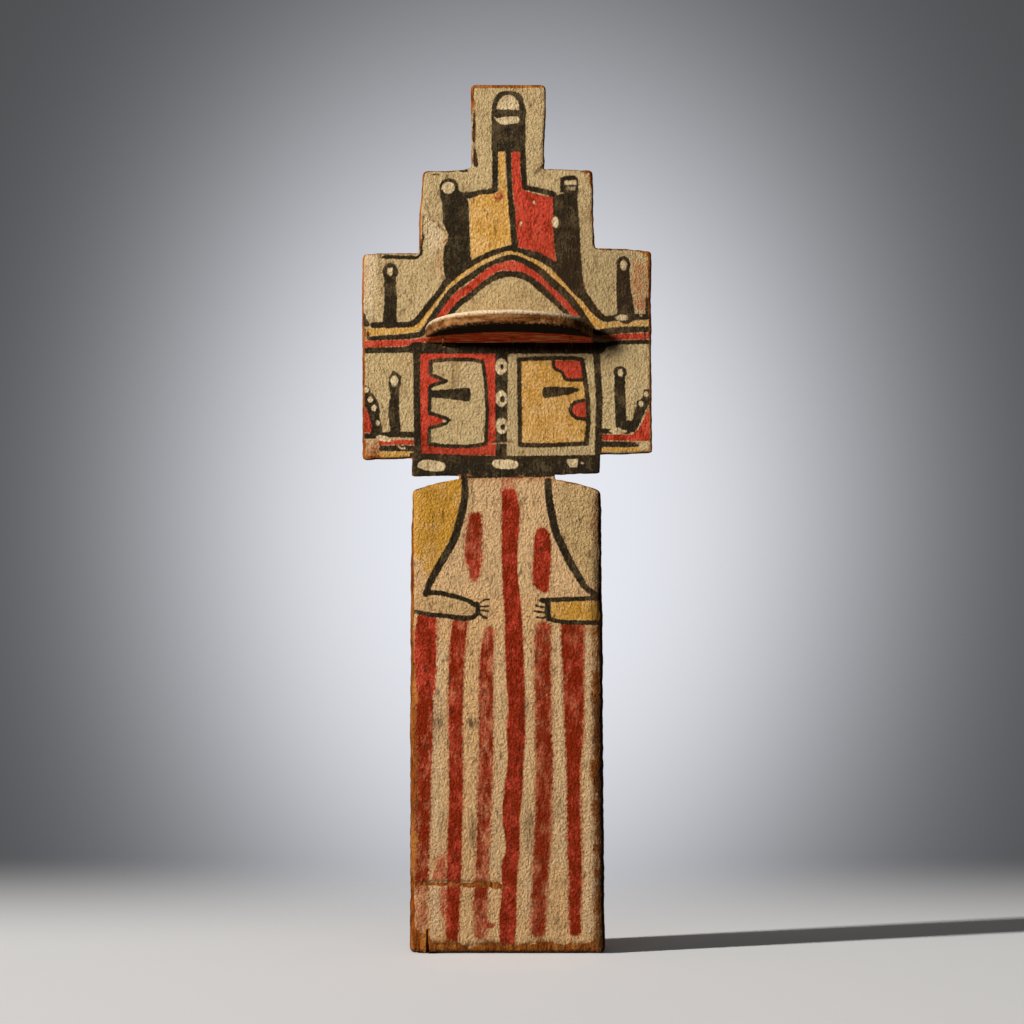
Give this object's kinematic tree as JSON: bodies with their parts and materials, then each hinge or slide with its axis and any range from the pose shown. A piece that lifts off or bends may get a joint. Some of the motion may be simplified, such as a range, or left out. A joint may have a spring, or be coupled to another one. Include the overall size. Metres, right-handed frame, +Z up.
{
  "type": "kachina doll",
  "caption": "Flat plank kachina doll with a stepped headdress and a half-round visor lashed on; it stands on its underside.",
  "frame": {"origin": "middle of the underside, half-way through the slab's thickness", "axes": "+Z up along the slab, -Y the painted front, +X to the viewer's right"},
  "size_m": [0.1536, 0.0636, 0.46],
  "materials": {
    "painted_wood": "matt earth pigments over a pale clay ground on old cottonwood, worn at the edges",
    "visor_wood": "worn wood with a pale rubbed rim, red and black pigment underneath",
    "sinew": "dry twisted sinew"
  },
  "bodies": {
    "root": {"slab": "painted_wood", "visor": "visor_wood", "stitch_left": "sinew", "stitch_middle": "sinew", "stitch_right": "sinew"}
  },
  "joints": []
}
